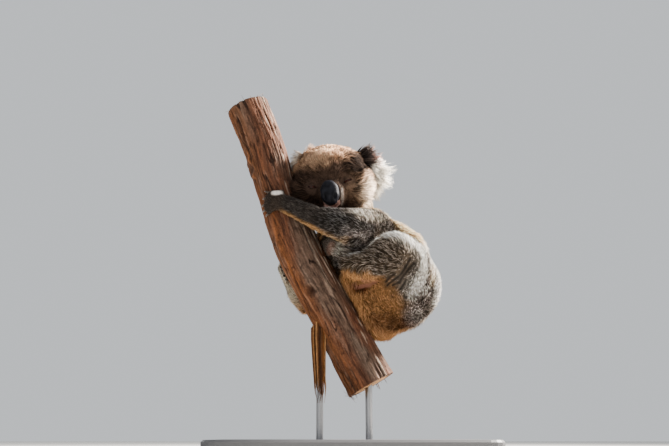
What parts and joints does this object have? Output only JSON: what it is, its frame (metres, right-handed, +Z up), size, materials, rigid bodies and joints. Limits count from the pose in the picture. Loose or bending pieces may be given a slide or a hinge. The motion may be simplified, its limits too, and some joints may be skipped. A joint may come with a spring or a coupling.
{
  "type": "koala model",
  "caption": "Life-size still model of a sleeping koala hugging a leaning cut length of eucalypt branch, held on two rods over a flat display base.",
  "frame": {"origin": "centre of the display base's flat underside", "axes": "+Z up, -Y the way the koala's face looks, +X the side its rump and left ear are on, away from the way the branch leans"},
  "size_m": [0.54, 0.42, 0.7519],
  "materials": {
    "coat_grey": "dense grizzled grey-brown fur",
    "coat_pale": "long pale ear and chest fur",
    "nose_skin": "bare black nose skin, slightly moist",
    "eye": "dark polished glass eye under a nearly shut lid",
    "claw": "dark horn, satin",
    "bark": "stringy red-brown eucalypt bark",
    "stand_paint": "dark grey satin paint on board",
    "stand_steel": "plain round rod"
  },
  "bodies": {
    "root": {"chest": "coat_pale", "claw_foot_left_toe_2": "claw", "claw_foot_left_toe_3": "claw", "claw_foot_left_toe_4": "claw", "claw_foot_left_toe_5": "claw", "claw_foot_right_toe_2": "claw", "claw_foot_right_toe_3": "claw", "claw_foot_right_toe_4": "claw", "claw_foot_right_toe_5": "claw", "claw_hand_left_finger_3": "claw", "claw_hand_left_finger_4": "claw", "claw_hand_left_finger_5": "claw", "claw_hand_left_thumb_1": "claw", "claw_hand_left_thumb_2": "claw", "claw_hand_right_finger_3": "claw", "claw_hand_right_finger_4": "claw", "claw_hand_right_finger_5": "claw", "claw_hand_right_thumb_1": "claw", "claw_hand_right_thumb_2": "claw", "ear_left": "coat_pale", "ear_right": "coat_pale", "eye_left": "eye", "eye_right": "eye", "foot_left": "coat_grey", "foot_right": "coat_grey", "forearm_left": "coat_grey", "forearm_right": "coat_grey", "hand_left": "coat_grey", "hand_right": "coat_grey", "head": "coat_grey", "neck": "coat_grey", "nose": "nose_skin", "perch": "bark", "perch_strip": "bark", "rump": "coat_grey", "shin_left": "coat_grey", "shin_right": "coat_grey", "stand_base": "stand_paint", "stand_rod_front": "stand_steel", "stand_rod_rear": "stand_steel", "thigh_left": "coat_grey", "thigh_right": "coat_grey", "upper_arm_left": "coat_grey", "upper_arm_right": "coat_grey"}
  },
  "joints": []
}
